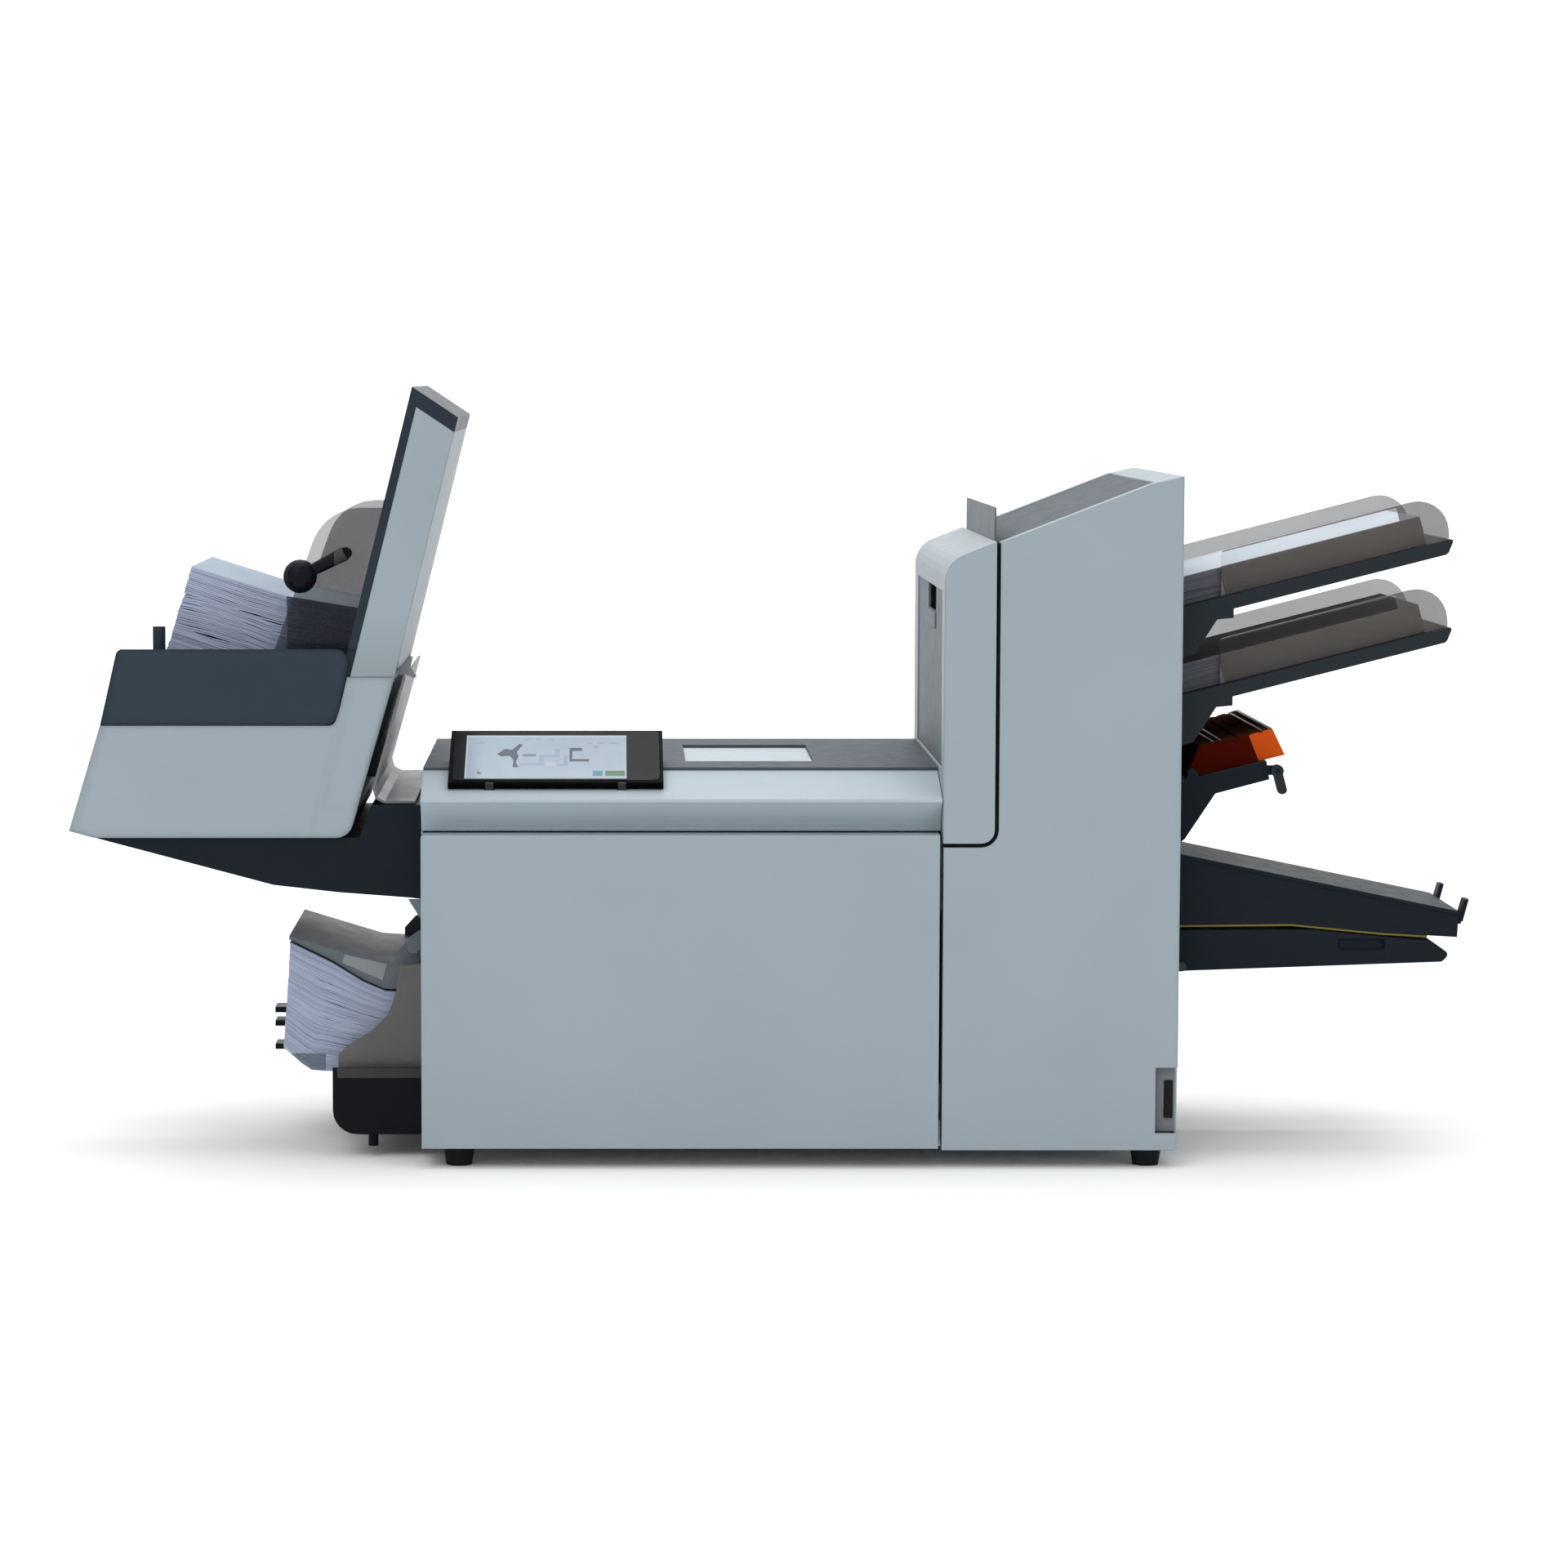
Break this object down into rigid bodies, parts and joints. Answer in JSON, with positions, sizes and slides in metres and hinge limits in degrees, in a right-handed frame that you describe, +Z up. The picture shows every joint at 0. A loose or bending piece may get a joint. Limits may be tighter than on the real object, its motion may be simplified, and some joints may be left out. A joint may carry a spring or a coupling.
{
  "type": "envelope inserting machine",
  "caption": "Desktop folder inserter with a drop-front cabinet, feeder tower with document trays, envelope hopper and an upright output stacker.",
  "frame": {"origin": "centre of the overall bounding box, on the table under the feet", "axes": "+Z up, +X from the stacker to the document trays, -Y the front"},
  "size_m": [1.362, 0.42, 0.7537],
  "materials": {
    "light_cover": "light blue-grey moulded cover",
    "light_strip": "light blue-grey moulded lid",
    "grey_cover": "mid grey fine texture",
    "navy_plastic": "dark slate blue moulding",
    "dark_plastic": "near black blue moulding",
    "zinc_steel": "zinc-plated sheet",
    "gear_acetal": "off-white acetal",
    "black_rubber": "black rubber",
    "roller_rubber": "ground roller rubber",
    "smoked_plastic": "smoked translucent sheet",
    "paper_sheets": "stacked white sheets",
    "paper_envelopes": "stacked envelopes with a blue tint",
    "orange_plastic": "orange moulding",
    "chute_plastic": "grey moulding",
    "screen_glass": "display glass",
    "display_black": "black display case"
  },
  "bodies": {
    "chassis": {"left_end_cover": "light_cover", "rear_cover": "light_cover", "tower_front_panel": "light_cover", "tower_rear_panel": "light_cover", "tower_end_cover": "light_cover", "column_housing": "light_cover", "stacker_wall": "light_cover", "stacker_body": "light_cover", "tower_top_plate": "grey_cover", "paper_stop": "grey_cover", "stacker_band": "navy_plastic", "stacker_liner": "navy_plastic", "insert_base": "navy_plastic", "divert_tray": "navy_plastic", "stacker_support": "dark_plastic", "hopper_base": "dark_plastic", "hopper_tongue": "dark_plastic", "upper_tray": "dark_plastic", "lower_tray": "dark_plastic", "base_pan": "zinc_steel", "front_frame": "zinc_steel", "rear_frame": "zinc_steel", "foot_front_left": "black_rubber", "foot_front_right": "black_rubber", "foot_rear_left": "black_rubber", "foot_rear_right": "black_rubber", "upper_sheets": "paper_sheets", "lower_sheets": "paper_sheets", "hopper_envelopes": "paper_envelopes", "exit_chute": "chute_plastic", "power_panel": "chute_plastic"},
    "front_door": {"front_door": "light_cover"},
    "lid": {"top_lid": "light_strip", "deck_plate": "grey_cover"},
    "display": {"display_housing": "display_black", "display_screen": "screen_glass"},
    "column_door": {"column_door": "grey_cover"},
    "power_switch": {"power_switch": "black_rubber"},
    "hand_knob": {"hand_knob": "gear_acetal"},
    "lower_fold_roller": {"lower_fold_roller": "roller_rubber"},
    "upper_fold_roller": {"upper_fold_roller": "roller_rubber"},
    "upper_feed_roller": {"upper_feed_roller": "roller_rubber"},
    "lower_feed_roller": {"lower_feed_roller": "roller_rubber"},
    "stacker_floor": {"stacker_floor": "dark_plastic", "stacker_envelopes": "paper_envelopes"},
    "stacker_guide_front": {"stacker_guide_front": "smoked_plastic"},
    "stacker_guide_rear": {"stacker_guide_rear": "smoked_plastic"},
    "guide_lock_lever": {"guide_lock_lever": "dark_plastic"},
    "release_lever": {"release_lever": "chute_plastic"},
    "hopper_guide_front": {"hopper_guide_front": "smoked_plastic"},
    "hopper_guide_rear": {"hopper_guide_rear": "smoked_plastic"},
    "weight_arm": {"weight_arm": "grey_cover"},
    "upper_guide_front": {"upper_guide_front": "smoked_plastic"},
    "upper_guide_rear": {"upper_guide_rear": "smoked_plastic"},
    "lower_guide_front": {"lower_guide_front": "smoked_plastic"},
    "lower_guide_rear": {"lower_guide_rear": "smoked_plastic"},
    "insert_hood": {"insert_hood": "orange_plastic"},
    "insert_lever": {"insert_lever": "dark_plastic"},
    "divert_stop": {"divert_stop": "navy_plastic"},
    "exit_plate": {"exit_plate": "navy_plastic"}
  },
  "joints": [
    {"name": "front_door_hinge", "type": "hinge", "parent": "chassis", "child": "front_door", "pos_m": [-0.089, -0.205, 0.0255], "axis": [1, 0, 0], "range_deg": [0, 85]},
    {"name": "lid_hinge", "type": "hinge", "parent": "chassis", "child": "lid", "pos_m": [-0.089, 0.2055, 0.326], "axis": [-1, 0, 0], "range_deg": [0, 30]},
    {"name": "display_hinge", "type": "hinge", "parent": "lid", "child": "display", "pos_m": [-0.21, -0.1865, 0.37092], "axis": [1, 0, 0], "range_deg": [0, 30]},
    {"name": "column_door_hinge", "type": "hinge", "parent": "chassis", "child": "column_door", "pos_m": [0.1652, 0, 0.389], "axis": [0, 1, 0], "range_deg": [-85, 0]},
    {"name": "power_switch_rock", "type": "hinge", "parent": "chassis", "child": "power_switch", "pos_m": [0.38275, -0.2, 0.067], "axis": [1, 0, 0], "range_deg": [0, 8]},
    {"name": "knob_spin", "type": "hinge", "parent": "chassis", "child": "hand_knob", "pos_m": [-0.05334, 0, 0.15335], "axis": [0, 1, 0], "continuous": true},
    {"name": "lower_fold_roller_spin", "type": "hinge", "parent": "chassis", "child": "lower_fold_roller", "pos_m": [-0.04, 0, 0.19], "axis": [0, 1, 0], "continuous": true},
    {"name": "upper_fold_roller_spin", "type": "hinge", "parent": "chassis", "child": "upper_fold_roller", "pos_m": [-0.0235, 0, 0.21858], "axis": [0, 1, 0], "continuous": true},
    {"name": "upper_feed_roller_spin", "type": "hinge", "parent": "chassis", "child": "upper_feed_roller", "pos_m": [0.38, 0, 0.57729], "axis": [0, 1, 0], "continuous": true},
    {"name": "lower_feed_roller_spin", "type": "hinge", "parent": "chassis", "child": "lower_feed_roller", "pos_m": [0.38, 0, 0.49149], "axis": [0, 1, 0], "continuous": true},
    {"name": "stacker_floor_lift", "type": "slide", "parent": "chassis", "child": "stacker_floor", "axis": [-0.2419, 0, -0.9703], "range_m": [0, 0.09]},
    {"name": "stacker_guide_front_slide", "type": "slide", "parent": "chassis", "child": "stacker_guide_front", "axis": [0, -1, 0], "range_m": [0, 0.025]},
    {"name": "stacker_guide_rear_slide", "type": "slide", "parent": "chassis", "child": "stacker_guide_rear", "axis": [0, 1, 0], "range_m": [0, 0.025]},
    {"name": "guide_lock_turn", "type": "hinge", "parent": "stacker_guide_front", "child": "guide_lock_lever", "pos_m": [-0.4145, -0.1313, 0.5925], "axis": [0, 1, 0], "range_deg": [0, 45]},
    {"name": "release_lever_turn", "type": "hinge", "parent": "chassis", "child": "release_lever", "pos_m": [-0.35916, -0.154, 0.48], "axis": [0, -1, 0], "range_deg": [0, 25]},
    {"name": "hopper_guide_front_slide", "type": "slide", "parent": "chassis", "child": "hopper_guide_front", "axis": [0, -1, 0], "range_m": [0, 0.012]},
    {"name": "hopper_guide_rear_slide", "type": "slide", "parent": "chassis", "child": "hopper_guide_rear", "axis": [0, 1, 0], "range_m": [0, 0.012]},
    {"name": "weight_arm_hinge", "type": "hinge", "parent": "chassis", "child": "weight_arm", "pos_m": [-0.352, 0, 0.205], "axis": [0, 1, 0], "range_deg": [0, 14]},
    {"name": "upper_guide_front_slide", "type": "slide", "parent": "chassis", "child": "upper_guide_front", "axis": [0, -1, 0], "range_m": [0, 0.01]},
    {"name": "upper_guide_rear_slide", "type": "slide", "parent": "chassis", "child": "upper_guide_rear", "axis": [0, 1, 0], "range_m": [0, 0.01]},
    {"name": "lower_guide_front_slide", "type": "slide", "parent": "chassis", "child": "lower_guide_front", "axis": [0, -1, 0], "range_m": [0, 0.01]},
    {"name": "lower_guide_rear_slide", "type": "slide", "parent": "chassis", "child": "lower_guide_rear", "axis": [0, 1, 0], "range_m": [0, 0.01]},
    {"name": "insert_hood_hinge", "type": "hinge", "parent": "chassis", "child": "insert_hood", "pos_m": [0.412, 0, 0.376], "axis": [0, -1, 0], "range_deg": [0, 22]},
    {"name": "insert_lever_turn", "type": "hinge", "parent": "chassis", "child": "insert_lever", "pos_m": [0.4935, -0.1303, 0.38], "axis": [0, -1, 0], "range_deg": [0, 35]},
    {"name": "divert_stop_slide", "type": "slide", "parent": "chassis", "child": "divert_stop", "axis": [0.9794, 0, -0.2019], "range_m": [0, 0.04]},
    {"name": "exit_plate_hinge", "type": "hinge", "parent": "chassis", "child": "exit_plate", "pos_m": [0.4, 0, 0.19], "axis": [0, 1, 0], "range_deg": [0, 60]}
  ],
  "couplings": [
    {"joint": "lower_fold_roller_spin", "follows": "knob_spin", "ratio": -1.3636},
    {"joint": "upper_fold_roller_spin", "follows": "knob_spin", "ratio": 1.3636},
    {"joint": "lower_feed_roller_spin", "follows": "upper_feed_roller_spin", "ratio": 1},
    {"joint": "stacker_guide_rear_slide", "follows": "stacker_guide_front_slide", "ratio": 1},
    {"joint": "hopper_guide_rear_slide", "follows": "hopper_guide_front_slide", "ratio": 1},
    {"joint": "upper_guide_rear_slide", "follows": "upper_guide_front_slide", "ratio": 1},
    {"joint": "lower_guide_rear_slide", "follows": "lower_guide_front_slide", "ratio": 1}
  ]
}
